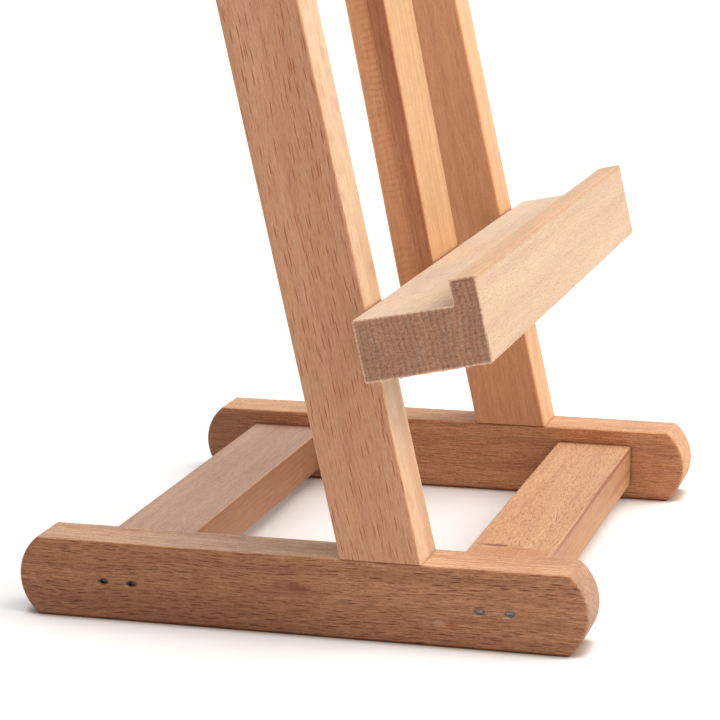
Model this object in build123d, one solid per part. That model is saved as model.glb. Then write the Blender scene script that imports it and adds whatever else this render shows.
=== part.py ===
from build123d import *
from math import cos, radians, sin, tan
import os

# Table-top artist easel in beech. Millimetres and degrees.
# The painter stands at -Y and looks along +Y: +X is to the right, +Y is to the back and +Z is up.
# The origin is on the table, in the middle of the base.

# ---- stock and base -------------------------------------------------------------------------
stock_thickness = 22.0          # rails, uprights and top crossbar are cut from 22 x 30 stock
stock_depth = 30.0
rail_length = 216.0
base_width = 238.0              # over the outer faces of both rails
rail_top = stock_depth          # the rails stand on edge
rail_end_radius = 19.0          # rounded ends of rails, uprights and mast
arris_radius = 1.2              # sanded long corners of rails and uprights
crossbar_arris_radius = 0.8
moulding_arris_radius = 0.5
mast_arris_radius = 1.0
crossbar_width = 32.0           # front to back
crossbar_height = 17.0
crossbar_offset = 69.0          # middle of each base crossbar, in front of and behind the origin
inner_width = base_width - 2 * stock_thickness
rail_middle_x = (base_width - stock_thickness) / 2

# ---- uprights and shelf (measured in the uprights' leaning frame) ------------------------------
upright_lean = 12.3
upright_foot_front = -47.2      # Y of the uprights' front faces where they meet the rails
upright_length = 430.0
shelf_length = 276.0
shelf_depth = 46.5
shelf_bottom = 71.5             # above the rails, along the uprights
ledge_thickness = 22.5          # at its back
ledge_fall = 0.8                # its top falls this much towards the lip
lip_height = 9.0
lip_thickness = 9.6
top_crossbar_level = 400.0      # middle of the top crossbar, along the uprights

# ---- mast and canvas clamp (measured in the mast's leaning frame) ------------------------------
mast_lean = 11.0
mast_foot_front = -44.8         # Y of the mast's front face at the height of the rail tops
mast_bottom = 74.0
mast_length = 445.0
mast_width = 40.0
front_strip_thickness = 7.5
rear_strip_width = 34.0
rear_strip_thickness = 9.0
mast_travel = 200.0
slide_clearance = 0.15          # between sliding wooden faces
clamp_width = 64.0
clamp_level = 470.0
keeper_thickness = 1.5

# ---- fasteners ---------------------------------------------------------------------------------
bolt_radius = 3.0               # M6 bolt, stud and inserts
bolt_hole_clearance = 0.25      # through wood
thread_clearance = 0.05         # a knob runs on its thread
bolt_head_radius = 6.0
bolt_head_height = 3.2
head_end_room = 0.5             # bolt head to the end of its slot, at both ends of the travel
neck_end_room = 2.5             # the square neck needs a longer slot than the round head
lip_over_bolt_head = 4.8        # wood left behind the bolt head in the rear strip
washer_radius = 9.0
washer_thickness = 1.6
insert_radius = 4.75
insert_length = 12.0
knob_radius = 16.0
knob_height = 16.0
knob_lobes = 5
knob_lobe_radius = 5.0
knob_web_radius = 12.0          # the disc between the lobes
knob_boss_radius = 8.0
knob_boss_height = 5.0
pad_radius = 5.0
pad_thickness = 3.0
stud_tip_radius = 2.4
stud_tip_length = 1.5
dowel_radius = 4.0
brad_length = 38.0
brad_width = 1.25
brad_thickness = 1.05
brad_head_width = 2.3
brad_head_height = 1.0
brad_level = 14.5               # brads run in half way up the rails
brad_pitch = 11.0
rear_brads_y = 69.0
front_brads_y = -74.0
rear_brad_depth = 1.6           # the rear pairs were driven below the surface
front_brad_depth = 0.15

upright_frame = Location((0, upright_foot_front, rail_top), (-upright_lean, 0, 0))
mast_frame = Location((0, mast_foot_front, rail_top), (-mast_lean, 0, 0))
top_crossbar_middle = upright_frame * Location((0, stock_depth / 2, top_crossbar_level))
bolt_place = (mast_frame.inverse() * top_crossbar_middle).position
bolt_level = bolt_place.Z
crossbar_front = bolt_place.Y - stock_thickness / 2
crossbar_back = bolt_place.Y + stock_thickness / 2
mast_depth = front_strip_thickness + rear_strip_thickness
bolt_head_back = mast_depth - lip_over_bolt_head


def block(x, y, z):
    """A box from three (low, high) spans."""
    size = (x[1] - x[0], y[1] - y[0], z[1] - z[0])
    middle = ((x[0] + x[1]) / 2, (y[0] + y[1]) / 2, (z[0] + z[1]) / 2)
    return Pos(*middle) * Box(*size)


def rod(radius, start, end, direction):
    """A cylinder between two positions along a main axis through the origin."""
    axis = {"x": (1, 0, 0), "y": (0, 1, 0), "z": (0, 0, 1)}[direction]
    plane = Plane(origin=Vector(*axis) * start, z_dir=axis)
    return extrude(plane * Circle(radius), end - start)


def eased(solid, radius, axis):
    """Round every edge that runs along one main axis."""
    return fillet(solid.edges().filter_by(axis), radius)


def screw_blank(length, shank_radius, head_radius, sink=0.0):
    """A countersunk wood screw that points down -Z, with its head's flat face at z = -sink."""
    cone = head_radius - shank_radius
    tip = 2 * shank_radius
    outline = Polyline(
        (0, 0), (head_radius, 0), (head_radius, -sink - 0.3), (shank_radius, -sink - cone - 0.3),
        (shank_radius, tip - length), (0, -length), close=True)
    return revolve(Plane.XZ * make_face(outline), Axis.Z)


def wood_screw(length, shank_radius, head_radius, sink=0.0):
    """The screw itself: the blank without the wood over its sunk head, and with a cross recess."""
    screw = screw_blank(length, shank_radius, head_radius, sink)
    screw -= block((-20, 20), (-20, 20), (-sink, 20))
    recess = Box(head_radius, 0.8, 3) + Box(0.8, head_radius, 3)
    return screw - Pos(0, 0, -sink) * recess


def arched_outline(width, height, radius):
    """A face in XY: straight sides from y = 0, and an arched top that ends at y = height."""
    half = width / 2
    shoulder = height - radius + (radius**2 - half**2) ** 0.5
    sides = Polyline((-half, shoulder), (-half, 0), (half, 0), (half, shoulder))
    top = ThreePointArc((half, shoulder), (0, height), (-half, shoulder))
    return make_face([*sides.edges(), *top.edges()])


# ---- base ----------------------------------------------------------------------------------------
def brad_places():
    """Rail side, Y and depth below the surface of each brad."""
    for side in (-1, 1):
        for pair_y, depth in ((rear_brads_y, rear_brad_depth), (front_brads_y, front_brad_depth)):
            for offset in (-brad_pitch / 2, brad_pitch / 2):
                yield side, pair_y + offset, depth


def brad_solid(side, y, depth):
    outer = base_width / 2 - depth
    shank = block((outer - brad_length, outer), (-brad_width / 2, brad_width / 2),
                  (-brad_thickness / 2, brad_thickness / 2))
    head = block((outer - brad_head_height, outer), (-brad_head_width / 2, brad_head_width / 2),
                 (-brad_thickness / 2, brad_thickness / 2))
    turned = shank + head
    if side < 0:
        turned = mirror(turned, about=Plane.YZ)
    return Pos(0, y, brad_level) * turned


def brad_pocket(side, y, depth):
    """The hole that a brad's head leaves in the rail's outer face."""
    outer = base_width / 2
    pocket = block((outer - depth, outer + 1), (-brad_head_width / 2, brad_head_width / 2),
                   (-brad_thickness / 2, brad_thickness / 2))
    if side < 0:
        pocket = mirror(pocket, about=Plane.YZ)
    return Pos(0, y, brad_level) * pocket


def rail_blank(side):
    """A rail on edge with both ends rounded, and its arrises sanded."""
    half = rail_length / 2
    shoulder = half - rail_end_radius + (rail_end_radius**2 - (rail_top / 2) ** 2) ** 0.5
    low = Line((-shoulder, 0), (shoulder, 0))
    back = ThreePointArc((shoulder, 0), (half, rail_top / 2), (shoulder, rail_top))
    high = Line((shoulder, rail_top), (-shoulder, rail_top))
    front = ThreePointArc((-shoulder, rail_top), (-half, rail_top / 2), (-shoulder, 0))
    outline = make_face([low, back, high, front])
    solid = extrude(Plane.YZ * outline, stock_thickness / 2, both=True)
    long_edges = [e for e in solid.edges() if abs(e.center().X) > stock_thickness / 2 - 0.01]
    return Pos(side * rail_middle_x, 0, 0) * fillet(long_edges, arris_radius)


def base_crossbar(y):
    bar = block((-inner_width / 2, inner_width / 2), (-crossbar_width / 2, crossbar_width / 2),
                (-crossbar_height / 2, crossbar_height / 2))
    return Pos(0, y, rail_top / 2) * eased(bar, crossbar_arris_radius, Axis.X)


# ---- uprights and what joins them to the base -------------------------------------------------------
foot_depth = stock_depth / cos(radians(upright_lean))
foot_screw_share = 0.4          # how far back in the foot the screw and the dowel stand
foot_dowel_share = 0.78
foot_screw_y = upright_foot_front + foot_screw_share * foot_depth
foot_dowel_y = upright_foot_front + foot_dowel_share * foot_depth
foot_screw_size = (56.0, 2.25, 4.5, 1.0)        # length, shank radius, head radius, sunk by
foot_dowel_reach = 12.0
shelf_screw_size = (50.0, 2.0, 4.0, 0.4)
shelf_screw_inset = 6.0         # from the ledge's lower and upper faces
shelf_screw_levels = (shelf_bottom + shelf_screw_inset, shelf_bottom + ledge_thickness - shelf_screw_inset)


def upright_blank(side):
    """An upright with a rounded top, cut along the rail's top face at its foot."""
    below = stock_depth * tan(radians(upright_lean)) + 5
    outline = arched_outline(stock_depth, upright_length + below, rail_end_radius)
    face = Pos(0, stock_depth / 2, -below) * (Plane.YZ * outline)
    solid = extrude(face, stock_thickness / 2, both=True)
    long_edges = [e for e in solid.edges() if abs(e.center().X) > stock_thickness / 2 - 0.01]
    solid = fillet(long_edges, arris_radius)
    leaning = upright_frame * Pos(side * rail_middle_x, 0, 0) * solid
    return leaning - block((-200, 200), (-200, 200), (-60, rail_top))


def foot_screw(side, maker):
    return Pos(side * rail_middle_x, foot_screw_y, 0) * Rot(180, 0, 0) * maker(*foot_screw_size)


def foot_dowel(side):
    dowel = rod(dowel_radius, rail_top - foot_dowel_reach, rail_top + foot_dowel_reach, "z")
    return Pos(side * rail_middle_x, foot_dowel_y, 0) * dowel


def shelf_screw(side, level, maker):
    """A screw that enters the upright's back face and holds the shelf."""
    place = upright_frame * Pos(side * rail_middle_x, stock_depth, level) * Rot(-90, 0, 0)
    return place * maker(*shelf_screw_size)


# ---- shelf -------------------------------------------------------------------------------------------
def ledge_moulding(length):
    """The L-shaped moulding of the shelf and the clamp: back at y = 0, ledge from z = 0, lip on top."""
    front = -shelf_depth
    lip_back = front + lip_thickness
    lip_foot = ledge_thickness - ledge_fall
    top = lip_foot + lip_height
    outline = Polyline(
        (0, 0), (front, 0), (front, top), (lip_back, top), (lip_back, lip_foot), (0, ledge_thickness),
        close=True)
    return extrude(Plane.YZ * make_face(outline), length / 2, both=True)


def shelf_blank():
    moulding = eased(ledge_moulding(shelf_length), moulding_arris_radius, Axis.X)
    return upright_frame * Pos(0, 0, shelf_bottom) * moulding


# ---- top crossbar -----------------------------------------------------------------------------------
crossbar_dowel_spread = 8.0     # each dowel's height from the bolt
crossbar_dowel_levels = (bolt_level - crossbar_dowel_spread, bolt_level + crossbar_dowel_spread)
crossbar_dowel_reach = 14.0


def crossbar_dowel(side, level):
    """A dowel along X between the top crossbar and an upright, in the mast's frame."""
    joint = side * inner_width / 2
    dowel = rod(dowel_radius, joint - crossbar_dowel_reach, joint + crossbar_dowel_reach, "x")
    return mast_frame * Pos(0, bolt_place.Y, level) * dowel


def top_crossbar_blank():
    """The bar between the uprights, square to the mast, notched for the mast's rear strip."""
    half = inner_width / 2
    bar = block((-half, half), (crossbar_front, crossbar_back),
                (bolt_level - stock_depth / 2, bolt_level + stock_depth / 2))
    bar = eased(bar, crossbar_arris_radius, Axis.X)
    notch_half = rear_strip_width / 2 + slide_clearance
    notch = block((-notch_half, notch_half), (crossbar_front - 1, mast_depth),
                  (bolt_level - stock_depth, bolt_level + stock_depth))
    bolt_hole = Pos(0, 0, bolt_level) * rod(bolt_radius + bolt_hole_clearance, 0, crossbar_back + 1, "y")
    return mast_frame * (bar - notch - bolt_hole)


# ---- mast --------------------------------------------------------------------------------------------
def mast_outline():
    """The mast seen from the front, as a face in XZ with an arched top."""
    outline = arched_outline(mast_width, mast_length, 1.25 * mast_width)
    return Pos(0, 0, mast_bottom) * (Plane.XZ * outline)


def slot_cut(radius, low_y, high_y, end_room):
    """A round-ended slot along the mast, as long as the travel."""
    bottom = bolt_level - mast_travel - end_room
    top = bolt_level + end_room
    cut = block((-radius, radius), (low_y, high_y), (bottom, top))
    for end in (bottom, top):
        cut += Pos(0, 0, end) * rod(radius, low_y, high_y, "y")
    return cut


def mast_front_strip():
    strip = extrude(mast_outline(), front_strip_thickness, dir=(0, 1, 0))
    return mast_frame * eased(strip, mast_arris_radius, Axis.Z)


def mast_rear_strip():
    """The narrower strip glued on behind, with the T-slot that holds the bolt's head."""
    half = rear_strip_width / 2
    strip = extrude(mast_outline(), mast_depth, dir=(0, 1, 0))
    strip &= block((-half, half), (front_strip_thickness, mast_depth), (0, 2 * mast_length))
    back_edges = strip.edges().filter_by(Axis.Z).group_by(Axis.Y)[-1]
    strip = fillet(back_edges, mast_arris_radius)
    strip -= slot_cut(bolt_head_radius + 0.5, front_strip_thickness, bolt_head_back, head_end_room)
    strip -= slot_cut(bolt_radius + bolt_hole_clearance, bolt_head_back - 1, mast_depth + 1, neck_end_room)
    return mast_frame * strip


def mast_bolt():
    """A cup-square bolt: its head slides in the mast's T-slot, its shank goes back through the bar."""
    end = crossbar_back + washer_thickness + knob_height - 2
    head = rod(bolt_head_radius, bolt_head_back - bolt_head_height, bolt_head_back, "y")
    head = fillet(head.edges().group_by(Axis.Y)[0], 1.2)
    neck = block((-bolt_radius, bolt_radius), (bolt_head_back, mast_depth - 1), (-bolt_radius, bolt_radius))
    shank = chamfer(rod(bolt_radius, bolt_head_back, end, "y").edges().group_by(Axis.Y)[-1], 0.6)
    return mast_frame * Pos(0, 0, bolt_level) * (head + neck + shank)


# ---- knobs --------------------------------------------------------------------------------------------
def star_knob():
    """A lobed knob on +Z, with a round boss under its star and a blind hole from below."""
    star = Circle(knob_web_radius)
    for lobe in PolarLocations(knob_radius - knob_lobe_radius, knob_lobes, start_angle=90):
        star += lobe * Circle(knob_lobe_radius)
    star = fillet(star.vertices(), 2.0)
    body = Pos(0, 0, knob_boss_height) * extrude(star, knob_height - knob_boss_height)
    body = fillet(body.edges().group_by(Axis.Z)[-1], 2.0)
    body = fillet(body.edges().group_by(Axis.Z)[0], 0.8)
    return body + rod(knob_boss_radius, 0, knob_boss_height + 1, "z")


back_of_washer = crossbar_back + washer_thickness


def mast_washer():
    ring = rod(washer_radius, crossbar_back, back_of_washer, "y")
    ring -= rod(bolt_radius + 0.2, crossbar_back - 1, back_of_washer + 1, "y")
    return mast_frame * Pos(0, 0, bolt_level) * ring


def mast_knob():
    """The knob behind the top crossbar, hollowed for its brass insert and the bolt's end."""
    knob = star_knob()
    knob -= rod(insert_radius, -1, insert_length, "z")
    knob -= rod(bolt_radius + thread_clearance, insert_length - 1, knob_height - 1.2, "z")
    return mast_frame * Pos(0, back_of_washer, bolt_level) * Rot(-90, 0, 0) * knob


def mast_knob_insert():
    ring = rod(insert_radius, back_of_washer, back_of_washer + insert_length, "y")
    ring -= rod(bolt_radius + thread_clearance, 0, 2 * crossbar_back, "y")
    return mast_frame * Pos(0, 0, bolt_level) * ring


# ---- canvas clamp ------------------------------------------------------------------------------------
groove_depth = front_strip_thickness + slide_clearance
clamp_front = groove_depth - shelf_depth
pad_room = pad_thickness + 2.5  # the pad backs off into this pocket
keeper_screw_size = (10.0, 1.5, 2.6, 0.0)
keeper_height = 20.0
keeper_inner = rear_strip_width / 2 + 0.5
keeper_outer = clamp_width / 2 - 2.0
keeper_screw_x = (mast_width / 2 + keeper_outer) / 2 + 0.5
clamp_place = mast_frame * Pos(0, 0, clamp_level)


def keeper_screw(side, level, maker):
    place = clamp_place * Pos(side * keeper_screw_x, groove_depth + keeper_thickness, level)
    return place * Rot(-90, 0, 0) * maker(*keeper_screw_size)


def canvas_clamp_blank():
    """A short length of the shelf's moulding, turned lip down, with a groove that rides the mast."""
    moulding = mirror(ledge_moulding(clamp_width), about=Plane.XY)
    body = Pos(0, groove_depth, ledge_thickness / 2) * eased(moulding, moulding_arris_radius, Axis.X)
    half_groove = mast_width / 2 + slide_clearance
    body -= block((-half_groove, half_groove), (0, groove_depth + 1), (-40, 40))
    body -= rod(bolt_radius + bolt_hole_clearance, clamp_front - 1, 0, "y")
    body -= rod(insert_radius, -pad_room - insert_length, 0, "y")
    body -= rod(pad_radius + 0.3, -pad_room, 0, "y")
    return clamp_place * body


def keeper_plate(side):
    """A thin steel plate on the clamp's back that reaches behind the mast's front strip."""
    middle = (keeper_inner + keeper_outer) / 2
    half_width = (keeper_outer - keeper_inner) / 2
    plate = block((-half_width, half_width), (groove_depth, groove_depth + keeper_thickness),
                  (-keeper_height / 2, keeper_height / 2))
    plate = eased(plate, 1.0, Axis.Y)
    return clamp_place * Pos(side * middle, 0, 0) * plate


def clamp_insert():
    ring = rod(insert_radius, -pad_room - insert_length, -pad_room, "y")
    ring -= rod(bolt_radius + thread_clearance, -60, 0, "y")
    return clamp_place * ring


knob_gap = 3.0                  # boss to clamp when the clamp is tight
knob_face = clamp_front - knob_gap
stud_reach = 11.0               # length of stud held in the clamp's knob


def clamp_screw():
    """The stud that presses the pad on the mast, with a turned-down tip."""
    shoulder = -pad_thickness
    stud = rod(bolt_radius, knob_face - stud_reach, shoulder, "y")
    stud = chamfer(stud.edges().group_by(Axis.Y)[0], 0.5)
    stud += rod(stud_tip_radius, shoulder - 1, shoulder + stud_tip_length, "y")
    return clamp_place * stud


def clamp_knob():
    knob = star_knob() - rod(bolt_radius, -1, stud_reach, "z")
    return clamp_place * Pos(0, knob_face, 0) * Rot(90, 0, 0) * knob


def clamp_pad():
    """The pad between the stud and the mast; the stud's tip turns in it."""
    pad = rod(pad_radius, -pad_thickness, 0, "y")
    pad -= rod(stud_tip_radius + thread_clearance, -pad_thickness - 1, stud_tip_length - pad_thickness, "y")
    return clamp_place * pad


# ---- cut each wooden piece for its fasteners, and write every node ------------------------------------
sides = (("left", -1), ("right", 1))
brads = [brad_solid(*place) for place in brad_places()]
foot_screws = [foot_screw(side, wood_screw) for _, side in sides]
foot_dowels = [foot_dowel(side) for _, side in sides]
shelf_screws = [shelf_screw(side, level, wood_screw) for _, side in sides for level in shelf_screw_levels]
crossbar_dowels = [crossbar_dowel(side, level) for _, side in sides for level in crossbar_dowel_levels]
keeper_levels = (-keeper_height / 4, keeper_height / 4)
keeper_screws = [keeper_screw(side, level, wood_screw) for _, side in sides for level in keeper_levels]

foot_holes = [foot_screw(side, screw_blank) for _, side in sides]
shelf_holes = [shelf_screw(side, level, screw_blank) for _, side in sides for level in shelf_screw_levels]
keeper_holes = [keeper_screw(side, level, screw_blank) for _, side in sides for level in keeper_levels]
brad_pockets = [brad_pocket(*place) for place in brad_places()]

nodes = {}
for name, side in sides:
    nodes[name + "_rail"] = rail_blank(side) - foot_holes - foot_dowels - brads - brad_pockets
    nodes[name + "_upright"] = upright_blank(side) - foot_holes - foot_dowels - shelf_holes - crossbar_dowels
nodes["front_crossbar"] = base_crossbar(-crossbar_offset) - brads
nodes["rear_crossbar"] = base_crossbar(crossbar_offset) - brads
nodes["crossbar_brads"] = Compound(brads)
nodes["foot_screws"] = Compound(foot_screws)
nodes["foot_dowels"] = Compound(foot_dowels)
nodes["shelf"] = shelf_blank() - shelf_holes
nodes["shelf_screws"] = Compound(shelf_screws)
nodes["top_crossbar"] = top_crossbar_blank() - crossbar_dowels
nodes["top_crossbar_dowels"] = Compound(crossbar_dowels)
nodes["mast_front_strip"] = mast_front_strip()
nodes["mast_rear_strip"] = mast_rear_strip()
nodes["mast_bolt"] = mast_bolt()
nodes["mast_washer"] = mast_washer()
nodes["mast_knob"] = mast_knob()
nodes["mast_knob_insert"] = mast_knob_insert()
nodes["canvas_clamp"] = canvas_clamp_blank() - keeper_holes
nodes["clamp_keeper_plates"] = Compound([keeper_plate(side) - keeper_holes for _, side in sides])
nodes["keeper_screws"] = Compound(keeper_screws)
nodes["clamp_insert"] = clamp_insert()
nodes["clamp_screw"] = clamp_screw()
nodes["clamp_knob"] = clamp_knob()
nodes["clamp_pad"] = clamp_pad()

os.makedirs("parts", exist_ok=True)
for node, shape in nodes.items():
    export_step(shape, f"parts/{node}.step")
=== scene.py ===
from math import cos, pi, radians, sin
from random import Random

import bpy
from mathutils import Matrix, Vector


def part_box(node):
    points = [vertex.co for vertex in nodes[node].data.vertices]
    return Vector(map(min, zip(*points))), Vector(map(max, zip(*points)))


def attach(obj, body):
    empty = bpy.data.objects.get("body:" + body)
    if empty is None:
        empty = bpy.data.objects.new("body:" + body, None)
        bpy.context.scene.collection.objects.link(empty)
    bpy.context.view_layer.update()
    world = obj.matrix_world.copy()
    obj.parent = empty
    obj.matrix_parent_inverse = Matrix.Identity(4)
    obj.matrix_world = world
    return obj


# A table-top easel in bare beech, on a pale table in soft studio light.
# Objects are in metres, in the CAD's frame: +X to the painter's right, +Y away from the painter, +Z up.
# Materials work in millimetres. Wood is described in each piece's own directions: radial (across the
# growth rings), tangential (along the rings) and along the grain.

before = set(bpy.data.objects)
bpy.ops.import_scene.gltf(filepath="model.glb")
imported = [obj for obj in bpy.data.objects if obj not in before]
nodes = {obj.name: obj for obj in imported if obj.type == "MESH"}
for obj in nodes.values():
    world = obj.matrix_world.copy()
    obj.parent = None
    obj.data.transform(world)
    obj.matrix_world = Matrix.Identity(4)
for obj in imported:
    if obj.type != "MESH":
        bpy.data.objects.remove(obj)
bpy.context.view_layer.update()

MM_PER_M = 1000.0

# how far the posts lean back from the vertical, in degrees
UPRIGHT_LEAN = 12.3
MAST_LEAN = 11.0

# the pair of brads at each end of a base crossbar, in millimetres
BRAD_PITCH = 11.0
BRAD_HEAD_WIDTH = 2.3

# the painted highlights on the rims of sawn ends, and the painted shade in the joints between pieces; widths
# are in metres
RIM_HIGHLIGHT_WIDTH = 0.0014
JOINT_REACH = 0.0018
JOINT_TINT = (0.55, 0.42, 0.33)


def box_mm(node):
    """A CAD node's lowest and highest corners at rest, in millimetres."""
    low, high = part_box(node)
    return low * MM_PER_M, high * MM_PER_M


# ---- short calls for building node trees ---------------------------------------------------------
class Tree:
    """Adds shader nodes whose inputs are given as plain values or as sockets."""

    def __init__(self, tree):
        self.tree = tree

    def plug(self, socket, value):
        if isinstance(value, bpy.types.NodeSocket):
            self.tree.links.new(value, socket)
        elif socket.type == "RGBA" and len(value) == 3:
            socket.default_value = (*value, 1.0)
        else:
            socket.default_value = value

    def add(self, kind, inputs=None, **settings):
        node = self.tree.nodes.new(kind)
        for name, value in settings.items():
            setattr(node, name, value)
        for name, value in (inputs or {}).items():
            self.plug(node.inputs[name], value)
        return node

    def math(self, operation, a, b=0.0, c=0.0):
        return self.add("ShaderNodeMath", {0: a, 1: b, 2: c}, operation=operation).outputs[0]

    def times(self, a, b):
        return self.math("MULTIPLY", a, b)

    def plus(self, base, value, gain):
        """base + value × gain."""
        return self.math("MULTIPLY_ADD", value, gain, base)

    def vector(self, operation, a, b=(0.0, 0.0, 0.0)):
        return self.add("ShaderNodeVectorMath", {0: a, 1: b}, operation=operation).outputs[0]

    def scaled(self, vector, factors):
        """The vector or colour, multiplied by three factors."""
        return self.vector("MULTIPLY", vector, factors)

    def turned(self, vector, angles):
        return self.add("ShaderNodeMapping", {"Vector": vector, "Rotation": angles}).outputs[0]

    def length(self, vector):
        return self.add("ShaderNodeVectorMath", {0: vector}, operation="LENGTH").outputs["Value"]

    def split(self, vector):
        return self.add("ShaderNodeSeparateXYZ", {0: vector}).outputs

    def join(self, x, y, z):
        return self.add("ShaderNodeCombineXYZ", {0: x, 1: y, 2: z}).outputs[0]

    def noise(self, place, density, detail=2.0, roughness=0.5):
        """Noise about 0, from about -1 to 1. The density is in features per unit along each axis."""
        node = self.add("ShaderNodeTexNoise", {"Vector": self.scaled(place, density), "Scale": 1.0,
                                               "Detail": detail, "Roughness": roughness})
        return self.plus(-1.0, node.outputs["Fac"], 2.0)

    def ramp(self, value, low, high, start=0.0, end=1.0):
        """A smooth step from start to end while value goes from low to high."""
        node = self.add("ShaderNodeMapRange", {"Value": value, "From Min": low, "From Max": high,
                                               "To Min": start, "To Max": end},
                        interpolation_type="SMOOTHSTEP")
        return node.outputs["Result"]

    def mix(self, mask, a, b):
        """Colour a where the mask is 0, and colour b where it is 1."""
        node = self.add("ShaderNodeMix", data_type="RGBA")
        colours = [s for s in node.inputs if s.type == "RGBA"]
        self.plug(node.inputs[0], mask)
        self.plug(colours[0], a)
        self.plug(colours[1], b)
        return [s for s in node.outputs if s.type == "RGBA"][0]

    def tinted(self, colour, mask, tint):
        """The colour, multiplied by the tint where the mask is 1."""
        return self.mix(mask, colour, self.scaled(colour, tint))

    def openness(self, reach):
        """1 in the open, falling towards 0 where other surfaces stand within reach, in metres."""
        return self.add("ShaderNodeAmbientOcclusion", {"Distance": reach}, samples=6).outputs["AO"]

    def place(self):
        """The place on the piece at rest, in millimetres in the CAD's frame."""
        source = self.add("ShaderNodeTexCoord").outputs["Object"]
        return self.scaled(source, (MM_PER_M, MM_PER_M, MM_PER_M))


def new_material(name):
    material = bpy.data.materials.new(name)
    material.use_nodes = True
    return material, Tree(material.node_tree), material.node_tree.nodes["Principled BSDF"]


def add_bump(t, shader, height, strength, distance):
    """Bump from a height, with the distance in metres."""
    bump = t.add("ShaderNodeBump", {"Height": height, "Strength": strength, "Distance": distance})
    t.plug(shader.inputs["Normal"], bump.outputs[0])


def paint(node, material):
    """Give a CAD node one material in place of its plain ones."""
    mesh = nodes[node].data
    mesh.materials.clear()
    mesh.materials.append(material)


# ---- beech, as one node group that every wooden piece shares -------------------------------------
def facing_masks(t, face):
    """How far the surface is flat-sawn, quarter-sawn and end grain, from the way it faces in the wood."""
    radial, tangential, along = t.split(t.vector("ABSOLUTE", face))
    return t.ramp(radial, 0.35, 0.85), t.ramp(tangential, 0.45, 0.9), t.ramp(along, 0.45, 0.85)


def wandering(t, place):
    """The grain wanders up to about 3 mm from the piece's straight axes."""
    drift = t.add("ShaderNodeTexNoise", {"Vector": t.scaled(place, (0.03, 0.05, 0.012)), "Scale": 1.0,
                                         "Detail": 1.0}).outputs["Color"]
    drift = t.scaled(t.vector("SUBTRACT", drift, (0.5, 0.5, 0.5)), (6.0, 6.0, 0.0))
    return t.vector("ADD", place, drift)


def growth_rings(t, grain, flat, given):
    """Pale early wood that darkens to a line of late wood, with broad bands. Also gives the lines."""
    ring = t.math("FRACT", t.math("DIVIDE", t.split(grain)[0], given["Ring Spacing"]))
    late = t.times(t.math("POWER", ring, 3.0), t.ramp(ring, 1.0, 0.85))
    lines = t.times(late, t.plus(1.0, flat, -0.85))
    bands = t.plus(0.42, t.noise(grain, (0.10, 0.22, 0.006), detail=3.0), 0.85)
    bands = t.plus(bands, lines, given["Ring Strength"])
    return t.mix(t.ramp(bands, -0.15, 1.15), given["Light"], given["Dark"]), late


def ripples(t, place):
    """Curly figure: thin dark waves across the grain, about 2.5 mm apart, stronger in some places."""
    bend = t.noise(place, (0.09, 0.09, 0.035), detail=1.5)
    phase = t.plus(t.times(t.split(place)[2], 2.5), bend, 7.0)
    crest = t.math("POWER", t.plus(0.5, t.math("SINE", phase), 0.5), 2.5)
    patches = t.noise(place, (0.12, 0.12, 0.05))
    return t.times(crest, t.ramp(patches, -0.3, 0.4, 0.15, 1.0))


def pore_tint(t, grain, pores, curl, strength):
    """Specks of pores, longer streaks and ripples as one tint, whose patches lean to yellow or pink."""
    streaks = t.noise(grain, (1.0, 2.1, 0.09), detail=3.0, roughness=0.65)
    hue = t.noise(grain, (0.15, 0.35, 0.06))
    shade = t.times(t.times(t.plus(pores, streaks, 1.3), strength), 0.26)
    shade = t.plus(shade, curl, -0.22)
    red = t.plus(1.0, shade, 0.75)
    green = t.plus(t.plus(1.0, shade, 1.05), hue, 0.04)
    blue = t.plus(t.plus(1.0, shade, 1.20), hue, -0.10)
    return t.join(red, green, blue)


def ray_sheets(t, grain, density, half_size):
    """Thin lens-shaped sheets, one to a cell: how deep inside one, and the cell's own random number.
    The density is in cells per millimetre along each axis, and the half size is in cells."""
    spread = t.scaled(grain, density)
    cells = t.add("ShaderNodeTexVoronoi", {"Vector": spread, "Scale": 1.0})
    away = t.vector("DIVIDE", t.vector("SUBTRACT", spread, cells.outputs["Position"]), half_size)
    return t.ramp(t.length(away), 1.0, 0.5), t.split(cells.outputs["Color"])[0]


def medullary_rays(t, grain):
    """Thin sheets on edge, seen as dashes, flakes or lines from the three sides of the wood."""
    strong, chance = ray_sheets(t, grain, density=(0.07, 0.80, 0.15), half_size=(0.80, 0.15, 0.46))
    strong = t.times(strong, t.ramp(chance, 0.0, 0.8, 0.30, 1.0))
    elsewhere = t.vector("ADD", grain, (31.0, 17.0, 57.0))
    faint, chance = ray_sheets(t, elsewhere, density=(0.12, 1.25, 0.24), half_size=(0.70, 0.20, 0.46))
    faint = t.times(faint, t.ramp(chance, 0.1, 1.0, 0.15, 0.65))
    return t.math("MAXIMUM", strong, faint)


def end_grain(t, place, light, late, rays):
    """Sawn ends: dark ring lines crossed by ray lines, a coarse speckle of cut pores, redder patches.
    Also gives the speckle."""
    speckle = t.noise(place, (1.1, 1.1, 0.4), roughness=0.75)
    blotch = t.noise(place, (0.16, 0.06, 0.1), detail=1.0)
    hue = t.noise(place, (0.4, 0.4, 0.2), detail=3.0)
    shade = 1.10
    for part, gain in ((speckle, 0.75), (blotch, 0.20), (late, -0.40), (rays, -0.34)):
        shade = t.plus(shade, part, gain)
    grey = t.scaled(light, t.join(shade, shade, shade))
    return t.scaled(grey, t.join(1.0, t.plus(1.0, hue, 0.14), t.plus(1.0, hue, 0.26))), speckle


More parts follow.
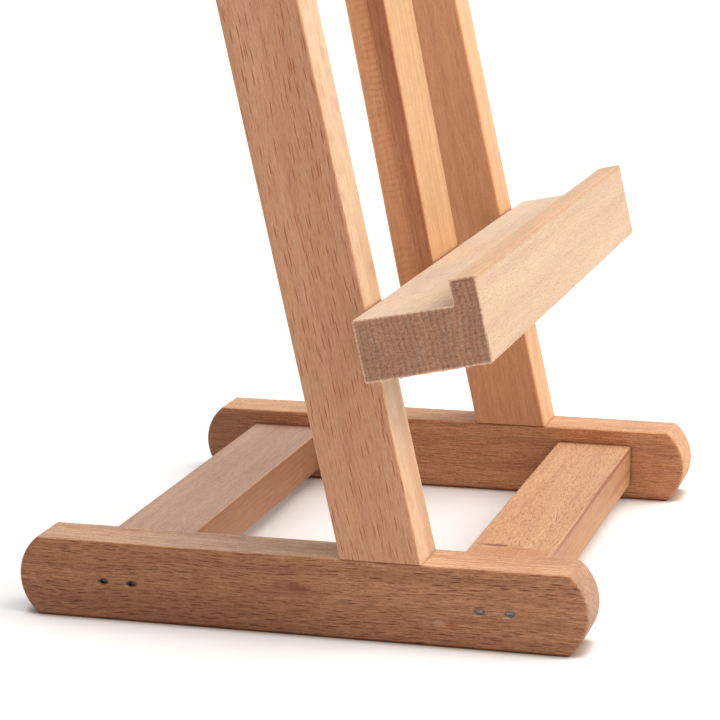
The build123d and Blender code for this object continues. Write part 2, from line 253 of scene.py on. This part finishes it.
def beech_group():
    """Beech at a place given as (radial, tangential, along the grain) in millimetres."""
    group = bpy.data.node_groups.new("beech", "ShaderNodeTree")
    inputs = {"Vector": ("Place", "Face"),
              "Color": ("Light", "Dark", "Quarter", "End", "Fleck"),
              "Float": ("Fleck Strength", "Fleck Size", "Ring Strength", "Ring Spacing",
                        "Pore Strength", "Curl")}
    for kind, names in inputs.items():
        for name in names:
            group.interface.new_socket(name, in_out="INPUT", socket_type="NodeSocket" + kind)
    for name, kind in (("Color", "Color"), ("Height", "Float"), ("Roughness", "Float")):
        group.interface.new_socket(name, in_out="OUTPUT", socket_type="NodeSocket" + kind)
    t = Tree(group)
    given = t.add("NodeGroupInput").outputs
    place = given["Place"]
    flat, quarter, end = facing_masks(t, given["Face"])
    grain = wandering(t, place)

    pores = t.noise(grain, (2.2, 2.8, 0.8), roughness=0.7)
    curl = t.times(ripples(t, place), given["Curl"])
    colour, late = growth_rings(t, grain, flat, given)
    colour = t.scaled(colour, pore_tint(t, grain, pores, curl, given["Pore Strength"]))
    colour = t.tinted(colour, quarter, given["Quarter"])

    size = given["Fleck Size"]
    rays = medullary_rays(t, t.vector("DIVIDE", grain, t.join(size, size, size)))
    dash = t.times(t.times(rays, t.plus(1.0, quarter, -0.75)), given["Fleck Strength"])
    colour = t.tinted(colour, dash, given["Fleck"])
    end_colour, speckle = end_grain(t, place, given["Light"], late, rays)
    colour = t.mix(end, colour, t.scaled(end_colour, given["End"]))

    height = t.plus(t.times(pores, 0.4), dash, -0.25)
    height = t.plus(height, curl, -0.4)
    height = t.plus(height, t.times(speckle, end), 3.0)
    rough = 0.58
    for part, gain in ((pores, 0.06), (rays, -0.08), (end, 0.2)):
        rough = t.plus(rough, part, gain)
    results = t.add("NodeGroupOutput").inputs
    t.plug(results["Color"], colour)
    t.plug(results["Height"], height)
    t.plug(results["Roughness"], rough)
    return group


# ---- one piece's beech ---------------------------------------------------------------------------
def in_grain_order(t, vector, order):
    """Reorder local X, Y and Z as radial, tangential and along the grain."""
    parts = t.split(vector)
    return t.join(*[parts["XYZ".index(axis)] for axis in order])


def spot_mask(t, place, centre, radii):
    """1 at a spot on a piece, fading to 0 at its ragged rim. Millimetres in the CAD's frame."""
    away = t.scaled(t.vector("SUBTRACT", place, centre), [1.0 / radius for radius in radii])
    ragged = t.noise(place, (0.9, 0.5, 0.9))
    return t.ramp(t.plus(t.length(away), ragged, 0.45), 1.15, 0.55)


def highlight_masks(t, face):
    """Where the painted highlights go: 1 on a piece's rounded long corners, and 1 along the sharp rims of
    its sawn ends.
    """
    radial, tangential, end = t.split(t.vector("ABSOLUTE", face))
    rounded = t.ramp(t.times(radial, tangential), 0.15, 0.42)
    softened = t.add("ShaderNodeBevel", {"Radius": RIM_HIGHLIGHT_WIDTH}, samples=4).outputs[0]
    true = t.add("ShaderNodeNewGeometry").outputs["Normal"]
    agreement = t.add("ShaderNodeVectorMath", {0: softened, 1: true}, operation="DOT_PRODUCT")
    sharp = t.ramp(agreement.outputs["Value"], 0.997, 0.93)
    return rounded, t.times(sharp, end)


def joint_shade(t, reach):
    """How deep a place is in a joint or a corner between pieces: 0 in the open, 1 in the crack."""
    return t.ramp(t.openness(reach), 0.92, 0.42)


def beech_material(name, order, *, light, dark, lean=0.0, quarter=(1.0, 1.0, 1.0), end=(0.8, 0.8, 0.8),
                   fleck=(0.50, 0.30, 0.24), flecks=0.95, fleck_size=1.0, rings=0.5, spacing=2.3,
                   ring_angle=0.0, pores=1.0, curl=0.0, corner=(1.12, 1.08, 1.02), rim=(1.20, 1.20, 1.20),
                   fade=None, fade_face=0, shift=(0, 0, 0), shades=(), spots=()):
    """One piece's beech. Light and dark are the wood's colours. Quarter, end, fleck, corner and rim are
    tints on them, for quarter-sawn faces, sawn ends, ray flecks, rounded corners and sharp rims. The
    quarter tint is partly those faces' own colour and partly painted light, lightening some faces and
    darkening others as the light falls on them. The corner and rim tints are painted highlights: on the
    rounded corners they strengthen or tone down the highlight, and along the sharp rims they paint a
    pale one. Flecks, rings, pores and curl are strengths, and spacing is the rings' width in millimetres.
    A fade is (start, end, tint): the faces that look along grain axis fade_face take on the tint between
    two places along the grain. A shade is (centre, radii, tint), and a spot is (centre, radii, colour,
    strength), both in the CAD's millimetres. The shift moves the piece to another place in the wood."""
    material, t, shader = new_material(name)
    place = t.place()
    normal = t.add("ShaderNodeTexCoord").outputs["Normal"]
    own = in_grain_order(t, t.turned(place, (radians(lean), 0, 0)), order)
    face = in_grain_order(t, t.turned(normal, (radians(lean), 0, 0)), order)
    inside = t.vector("ADD", t.turned(own, (0, 0, radians(ring_angle))), shift)

    wood = t.add("ShaderNodeGroup", node_tree=beech)
    values = {"Place": inside, "Face": face, "Light": light, "Dark": dark,
              "Quarter": quarter, "End": end, "Fleck": fleck, "Fleck Strength": flecks,
              "Fleck Size": fleck_size, "Ring Strength": rings, "Ring Spacing": spacing,
              "Pore Strength": pores, "Curl": curl}
    for socket, value in values.items():
        t.plug(wood.inputs[socket], value)

    colour = wood.outputs["Color"]
    if fade:
        start, finish, tint = fade
        looking = t.math("ABSOLUTE", t.split(face)[fade_face])
        colour = t.tinted(colour, t.times(t.ramp(t.split(own)[2], start, finish), looking), tint)
    for mask, tint in zip(highlight_masks(t, face), (corner, rim)):
        colour = t.tinted(colour, mask, tint)
    for centre, radii, tint in shades:
        colour = t.tinted(colour, spot_mask(t, place, centre, radii), tint)
    for centre, radii, stain, strength in spots:
        colour = t.mix(t.times(spot_mask(t, place, centre, radii), strength), colour, stain)
    colour = t.tinted(colour, joint_shade(t, JOINT_REACH), JOINT_TINT)

    t.plug(shader.inputs["Base Color"], colour)
    t.plug(shader.inputs["Roughness"], wood.outputs["Roughness"])
    add_bump(t, shader, wood.outputs["Height"], strength=0.25, distance=0.00025)
    shader.inputs["IOR"].default_value = 1.45
    return material


# ---- the wooden pieces ---------------------------------------------------------------------------
def brad_marks(side):
    """Painted shade in the torn, sunk hole round each brad, with a pale fray beside it. The rear brads are
    sunk deeper, and their painted shade is darker.
    """
    deep_hole_shade, shallow_hole_shade = (0.030, 0.014, 0.008), (0.060, 0.045, 0.035)
    fray, bright_fray = (0.50, 0.34, 0.22), (0.60, 0.44, 0.30)
    x = side * box_mm("right_rail")[1].x
    low, high = box_mm("crossbar_brads")
    level = (low.z + high.z) / 2
    rearmost, foremost = high.y - BRAD_HEAD_WIDTH / 2, low.y + BRAD_HEAD_WIDTH / 2
    marks = []
    for y in (rearmost, rearmost - BRAD_PITCH):
        marks.append(((x, y, level + 0.1), (1.6, 2.3, 1.35), deep_hole_shade, 0.97))
        marks.append(((x, y + 2.4, level - 1.1), (1.5, 1.1, 0.5), fray, 0.35))
    for y in (foremost + BRAD_PITCH, foremost):
        marks.append(((x, y, level - 0.2), (1.6, 2.3, 1.45), shallow_hole_shade, 0.85))
        marks.append(((x, y + 1.0, level - 1.8), (1.5, 1.9, 0.5), bright_fray, 0.35))
    return marks


def left_rail_marks(x):
    """A small red knot in the middle of the left rail's outer face, which is at x, and a blush near the
    front."""
    heart = ((x, 0.9, 18.3), (3.0, 2.8, 2.2), (0.150, 0.034, 0.011), 0.75)
    tail = ((x, -2.6, 17.6), (3.0, 3.0, 1.1), (0.11, 0.026, 0.008), 0.75)
    fleck = ((x, 7.0, 18.6), (3.0, 1.6, 0.8), (0.17, 0.045, 0.018), 0.45)
    halo = ((x, 0.5, 18.2), (3.0, 9.0, 5.0), (0.30, 0.10, 0.045), 0.35)
    blush = ((x, -58.6, 8.2), (3.0, 2.6, 1.8), (0.30, 0.07, 0.025), 0.40)
    scuff = ((x, -53.5, 9.0), (3.0, 2.2, 1.4), (0.52, 0.36, 0.22), 0.35)
    return [heart, tail, fleck, halo, blush, scuff]


def paint_rails():
    # quarter lightens the rails' tops, partly their own colour and partly painted light and sheen; corner
    # and rim tone the painted highlights on the rounded corners and the sawn ends' rims
    rail = dict(order="XZY", fleck=(0.30, 0.15, 0.10), pores=2.7, ring_angle=30, spacing=2.0,
                corner=(1.02, 0.90, 0.80))
    low, high = box_mm("left_rail")
    middle, over_top = (low.x + high.x) / 2, high.z + 0.5
    # painted shade: the rail's outer side darker towards the floor, and the left upright's painted shadow
    # across the rail's top behind it
    painted_foot_shade = ((low.x, 0, low.z + 1), (8, 500, 19), (0.90, 0.88, 0.88))
    upright_shadow_on_top = ((middle, 28, over_top), (16, 44, 3), (0.85, 0.87, 0.98))
    warm_front = ((middle, -85, over_top), (16, 34, 3), (0.89, 0.80, 0.76))
    paint("left_rail", beech_material("beech_left_rail", light=(0.480, 0.217, 0.101),
                                      dark=(0.312, 0.124, 0.054), quarter=(1.62, 2.28, 3.05),
                                      end=(0.78, 0.94, 1.22), rim=(1.15, 1.15, 1.12), flecks=1.0,
                                      fade=(-25, 22, (0.84, 0.79, 0.75)),
                                      shades=[painted_foot_shade, upright_shadow_on_top, warm_front],
                                      spots=left_rail_marks(low.x) + brad_marks(-1), **rail))
    paint("right_rail", beech_material("beech_right_rail", light=(0.605, 0.272, 0.127),
                                       dark=(0.428, 0.175, 0.076), quarter=(1.32, 1.71, 2.13),
                                       end=(0.88, 1.02, 1.14), flecks=0.35, shift=(40, 11, 300),
                                       fade=(30, 95, (0.66, 0.62, 0.62)), spots=brad_marks(1), **rail))


def front_bar_marks():
    """Red streaks along the front crossbar's front edge, and a scar across its top near the left end."""
    red = (0.24, 0.065, 0.026)
    low, high = box_mm("front_crossbar")
    front, top = low.y, high.z
    streaks = [((40, front, top - 1.0), (66, 1.5, 1.2), red, 0.80),
               ((-35, front, top - 1.5), (40, 1.5, 1.0), red, 0.70),
               ((68, front, 13.3), (30, 1.8, 1.7), red, 0.45)]
    scar = [((-65.3, -62.5, top - 0.5), (1.7, 6.5, 2.0), (0.17, 0.050, 0.022), 0.75),
            ((-67.8, -72.5, top - 0.5), (1.1, 5.5, 2.0), (0.34, 0.12, 0.06), 0.6),
            ((-74, -70, top - 0.5), (8.0, 18, 2.0), (0.46, 0.19, 0.10), 0.45)]
    return streaks + scar


def paint_crossbars():
    order = "ZYX"
    paint("front_crossbar", beech_material("beech_front_crossbar", order, light=(0.68, 0.40, 0.225),
                                           dark=(0.53, 0.28, 0.15), quarter=(0.64, 0.55, 0.46),
                                           fleck=(0.22, 0.10, 0.06), fleck_size=0.7,
                                           corner=(1.0, 1.0, 1.0), spots=front_bar_marks(),
                                           shift=(7, 3, 50)))
    paint("rear_crossbar", beech_material("beech_rear_crossbar", order, light=(0.606, 0.394, 0.285),
                                          dark=(0.477, 0.292, 0.205), quarter=(0.64, 0.475, 0.335),
                                          flecks=0.5, shift=(70, 30, 900)))
    paint("top_crossbar", beech_material("beech_top_crossbar", order, light=(0.66, 0.38, 0.22),
                                         dark=(0.50, 0.27, 0.15), lean=MAST_LEAN, shift=(9, 60, 400)))


def paint_uprights():
    post = dict(order="XYZ", lean=UPRIGHT_LEAN, fleck=(0.68, 0.34, 0.20), rings=0.35, fleck_size=1.35,
                spacing=1.3, pores=1.1)
    low, high = box_mm("left_upright")
    torn_corner = ((high.x - 0.5, -46.0, low.z + 1.0), (1.6, 2.2, 1.8), (0.16, 0.05, 0.02), 0.8)
    # painted shadow of the shelf on the left upright's front, just under the shelf
    shadow_under_shelf = (((low.x + high.x) / 2, -34, 89), (13, 9, 22), (0.88, 0.91, 0.93))
    paint("left_upright", beech_material("beech_left_upright", light=(0.588, 0.300, 0.170),
                                         dark=(0.470, 0.210, 0.104), quarter=(1.14, 1.54, 1.74),
                                         fade=(80, 40, (0.93, 0.87, 0.86)), fade_face=1, shift=(3, 5, 20),
                                         shades=[shadow_under_shelf], spots=[torn_corner], **post))
    paint("right_upright", beech_material("beech_right_upright", light=(0.690, 0.343, 0.171),
                                          dark=(0.560, 0.243, 0.109), quarter=(0.98, 1.21, 1.28), flecks=0.3,
                                          shift=(90, 40, 700), **post))


def paint_mouldings():
    """The shelf, and the canvas clamp that is cut from the same moulding."""
    # quarter lightens the shelf's top, partly its own colour and partly painted light; corner tones the
    # painted highlight on the rounded corners, and rim paints a strong pale highlight along the sawn ends'
    # rims
    moulding = dict(order="YZX", light=(0.575, 0.400, 0.260), dark=(0.485, 0.318, 0.200),
                    end=(0.63, 0.46, 0.415), quarter=(1.56, 1.76, 2.02), fleck=(0.52, 0.34, 0.24),
                    flecks=0.9, fleck_size=0.55, rings=0.6, spacing=2.1, pores=0.8,
                    corner=(0.98, 0.84, 0.72), rim=(2.6, 3.4, 4.0))
    pale_end = ((118, -38, 96), (66, 40, 14), (1.06, 1.09, 1.14))
    lip_top = ((0, -66.0, 139.2), (900, 7.5, 2.0), (0.90, 0.78, 0.68))
    paint("shelf", beech_material("beech_shelf", lean=UPRIGHT_LEAN, shades=[pale_end, lip_top], **moulding))
    paint("canvas_clamp", beech_material("beech_canvas_clamp", lean=MAST_LEAN, shift=(50, 9, 333),
                                         **moulding))


def paint_mast():
    # corner brightens the painted highlight on the strips' rounded corners
    strip = dict(order="YXZ", lean=MAST_LEAN, flecks=0.4, spacing=2.8, corner=(1.20, 1.20, 1.20),
                 fade_face=1)
    paint("mast_front_strip", beech_material("beech_mast_front", light=(0.605, 0.354, 0.162),
                                             dark=(0.497, 0.250, 0.108), quarter=(0.90, 0.69, 0.71),
                                             rings=0.9, pores=1.4, fade=(140, 200, (0.84, 0.77, 0.74)),
                                             **strip))
    paint("mast_rear_strip", beech_material("beech_mast_rear", light=(0.83, 0.425, 0.212),
                                            dark=(0.67, 0.305, 0.140), curl=0.8, rings=0.2, pores=0.8,
                                            fade=(165, 70, (0.90, 0.83, 0.77)), shift=(30, 70, 10),
                                            **strip))


def paint_dowels():
    for node, order in (("foot_dowels", "XYZ"), ("top_crossbar_dowels", "YZX")):
        paint(node, beech_material("beech_" + node, order, light=(0.72, 0.52, 0.36),
                                   dark=(0.56, 0.36, 0.23)))


# ---- loose fibres on the sawn end ----------------------------------------------------------------
def sliver(path, radius):
    """Corners and faces of a three-sided sliver that twists along a path and tapers to a fifth."""
    corners, faces = [], []
    last = len(path) - 1
    for step, point in enumerate(path):
        size = radius * (1.0 - 0.8 * step / last)
        for side in range(3):
            angle = 2 * pi * side / 3 + 0.5 * step
            corners.append(point + size * Vector((sin(angle), 0, cos(angle))))
    for first in range(0, 3 * last, 3):
        for side in range(3):
            following = (side + 1) % 3
            faces.append((first + side, first + following, first + 3 + following, first + 3 + side))
    faces += [(2, 1, 0), (3 * last, 3 * last + 1, 3 * last + 2)]
    return corners, faces


def fibre_path(front_corner, edge_length, chance):
    """One fibre that starts on an edge that runs back from its front corner, lies along it and droops."""
    lean = radians(UPRIGHT_LEAN)
    backwards = Vector((0, cos(lean), -sin(lean)))
    down = Vector((0, -sin(lean), -cos(lean)))
    margin, steps = 4.0, 5
    root = front_corner + backwards * chance.uniform(margin, edge_length - margin)
    length = chance.uniform(1.0, 4.5) * chance.choice((-1, 1))
    droop = 0.3 + 1.6 * chance.random() ** 4
    bend = chance.uniform(-0.35, 0.35)
    path = []
    for step in range(steps + 1):
        part = step / steps
        aside = Vector((bend * part * part, 0, 0))
        path.append(root + backwards * length * sin(1.8 * part) + down * droop * part ** 1.5 + aside)
    return path


def add_fibres():
    """Pale fibres that the saw left hanging on the lower edge of the shelf's left end. Millimetres."""
    fibre_count, edge_length = 70, 45.0
    low, _ = box_mm("shelf")
    rise = edge_length * sin(radians(UPRIGHT_LEAN))
    front_corner = Vector((low.x + 0.4, low.y + 0.6, low.z + rise + 0.25))
    chance = Random(5)
    corners, faces = [], []
    for _ in range(fibre_count):
        path = fibre_path(front_corner, edge_length, chance)
        new_corners, new_faces = sliver(path, radius=chance.uniform(0.14, 0.26))
        faces += [[len(corners) + index for index in face] for face in new_faces]
        corners += new_corners
    mesh = bpy.data.meshes.new("shelf_fibres")
    mesh.from_pydata([corner / MM_PER_M for corner in corners], [], faces)
    mesh.materials.append(beech_material("beech_fibres", "YZX", lean=UPRIGHT_LEAN, light=(0.86, 0.68, 0.50),
                                         dark=(0.66, 0.48, 0.33), end=(1.0, 1.0, 1.0)))
    fibres = bpy.data.objects.new("shelf_fibres", mesh)
    bpy.context.scene.collection.objects.link(fibres)
    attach(fibres, "frame")


# ---- metal and plastic ---------------------------------------------------------------------------
def steel_material(name, dark, light):
    """Plated or bare steel: faint cloudy crystals and drawn lines."""
    material, t, shader = new_material(name)
    place = t.place()
    cloud = t.noise(place, (0.5, 0.5, 0.5), detail=3.0)
    lines = t.noise(place, (0.3, 6.0, 6.0))
    t.plug(shader.inputs["Base Color"], t.mix(t.ramp(cloud, -0.6, 0.6), dark, light))
    t.plug(shader.inputs["Roughness"], t.ramp(lines, -0.8, 0.8, 0.24, 0.42))
    add_bump(t, shader, lines, strength=0.1, distance=0.0001)
    shader.inputs["Metallic"].default_value = 1.0
    return material


def brass_material():
    """Turned brass: fine tool rings and slight tarnish."""
    material, t, shader = new_material("brass")
    place = t.place()
    tarnish = t.noise(place, (0.35, 0.35, 0.35), detail=4.0)
    rings = t.noise(place, (0.4, 7.0, 1.0), detail=1.0)
    colour = t.mix(t.ramp(tarnish, -0.5, 0.6), (0.80, 0.60, 0.28), (0.60, 0.40, 0.16))
    t.plug(shader.inputs["Base Color"], colour)
    t.plug(shader.inputs["Roughness"], t.ramp(rings, -0.8, 0.8, 0.22, 0.38))
    shader.inputs["Metallic"].default_value = 1.0
    return material


def plastic_material():
    """Black moulded plastic with a fine spark-eroded grain, rubbed smoother in places by fingers."""
    material, t, shader = new_material("black_plastic")
    place = t.place()
    grain = t.noise(place, (2.4, 2.4, 2.4), detail=3.0, roughness=0.7)
    wear = t.noise(place, (0.12, 0.12, 0.12))
    colour = t.mix(t.ramp(wear, -0.5, 0.7), (0.018, 0.018, 0.020), (0.034, 0.033, 0.033))
    t.plug(shader.inputs["Base Color"], colour)
    t.plug(shader.inputs["Roughness"], t.ramp(wear, -0.6, 0.6, 0.58, 0.42))
    add_bump(t, shader, grain, strength=0.35, distance=0.0002)
    return material


def paint_hardware():
    bare_steel = steel_material("brad_steel", dark=(0.13, 0.14, 0.15), light=(0.26, 0.27, 0.27))
    zinc = steel_material("zinc_steel", dark=(0.52, 0.53, 0.55), light=(0.70, 0.70, 0.69))
    finishes = (
        (bare_steel, ("crossbar_brads",)),
        (zinc, ("foot_screws", "shelf_screws", "mast_bolt", "mast_washer", "clamp_keeper_plates",
                "keeper_screws", "clamp_screw")),
        (brass_material(), ("mast_knob_insert", "clamp_insert", "clamp_pad")),
        (plastic_material(), ("mast_knob", "clamp_knob")),
    )
    for material, painted in finishes:
        for node in painted:
            paint(node, material)


# ---- camera, floor and light ---------------------------------------------------------------------
def add_camera():
    """Low, from the easel's left side and a little from the front."""
    position = Vector((-0.9961, -0.2725, 0.3019))
    azimuth, elevation, roll = radians(-74.234), radians(12.254), radians(0.363)
    forward = Vector((-sin(azimuth) * cos(elevation), cos(azimuth) * cos(elevation), -sin(elevation)))
    right = forward.cross(Vector((0, 0, 1))).normalized()
    right = Matrix.Rotation(roll, 3, forward) @ right
    up = right.cross(forward)
    camera = bpy.data.objects.new("camera", bpy.data.cameras.new("camera"))
    axes = Matrix((right, up, -forward)).transposed()
    camera.matrix_world = Matrix.Translation(position) @ axes.to_4x4()
    camera.data.sensor_width = 36.0
    camera.data.lens = 131.84
    camera.data.clip_end = 50.0
    bpy.context.scene.collection.objects.link(camera)
    bpy.context.scene.camera = camera


def floor_material():
    """Pale floor that glows a little, a painted glow that is seen but lights nothing. Painted shade makes it
    darker and warmer, and makes it glow less, in the crack under the easel and where the easel's base walls
    it in."""
    material, t, shader = new_material("pale_floor")
    metres = t.add("ShaderNodeTexCoord").outputs["Object"]
    cloud = t.noise(metres, (30, 30, 30), detail=3.0)
    colour = t.mix(t.ramp(cloud, -1, 1), (0.93, 0.925, 0.92), (0.95, 0.95, 0.945))
    contact_shadow = joint_shade(t, reach=0.006)
    walled_in_shade = t.ramp(t.openness(reach=0.12), 0.58, 0.36)
    colour = t.mix(walled_in_shade, colour, (0.74, 0.69, 0.66))
    t.plug(shader.inputs["Base Color"], t.mix(contact_shadow, colour, (0.42, 0.33, 0.27)))
    shader.inputs["Roughness"].default_value = 0.6
    shader.inputs["Emission Color"].default_value = (1, 1, 1, 1)
    # the painted glow is seen, but lights nothing
    open_painted_glow = 0.22
    seen = t.add("ShaderNodeLightPath").outputs["Is Camera Ray"]
    glow = t.times(t.ramp(contact_shadow, 0.0, 0.8, open_painted_glow, 0.0), seen)
    glow = t.times(glow, t.ramp(walled_in_shade, 0.0, 1.0, 1.0, 0.3))
    t.plug(shader.inputs["Emission Strength"], glow)
    return material


def add_floor():
    half = 6.0
    corners = [(-half, -half, 0), (half, -half, 0), (half, half, 0), (-half, half, 0)]
    mesh = bpy.data.meshes.new("floor")
    mesh.from_pydata(corners, [], [(0, 1, 2, 3)])
    mesh.materials.append(floor_material())
    floor = bpy.data.objects.new("floor", mesh)
    bpy.context.scene.collection.objects.link(floor)


def add_sun(name, azimuth, elevation, softness, strength, colour):
    """A distant soft lamp. Azimuth 0 shines from -Y, from in front of the easel, and 90 from +X."""
    azimuth, elevation = radians(azimuth), radians(elevation)
    towards = Vector((sin(azimuth) * cos(elevation), -cos(azimuth) * cos(elevation), sin(elevation)))
    data = bpy.data.lights.new(name, "SUN")
    data.energy = strength
    data.angle = radians(softness)
    data.color = colour
    lamp = bpy.data.objects.new(name, data)
    lamp.rotation_euler = towards.to_track_quat("Z", "Y").to_euler()
    bpy.context.scene.collection.objects.link(lamp)


def add_studio():
    """A white surround that lights gently, and a large soft lamp in front of the easel."""
    world = bpy.data.worlds.new("studio")
    bpy.context.scene.world = world
    world.use_nodes = True
    t = Tree(world.node_tree)
    lighting, shown = 0.60, 1.1
    seen = t.add("ShaderNodeLightPath").outputs["Is Camera Ray"]
    background = world.node_tree.nodes["Background"]
    t.plug(background.inputs["Color"], (1, 1, 1))
    t.plug(background.inputs["Strength"], t.ramp(seen, 0.0, 1.0, lighting, shown))
    add_sun("key", azimuth=15, elevation=42, softness=65, strength=3.3, colour=(1.0, 0.97, 0.93))
    bpy.context.scene.view_settings.view_transform = "Standard"


beech = beech_group()
paint_rails()
paint_crossbars()
paint_uprights()
paint_mouldings()
paint_mast()
paint_dowels()
add_fibres()
paint_hardware()
add_camera()
add_floor()
add_studio()
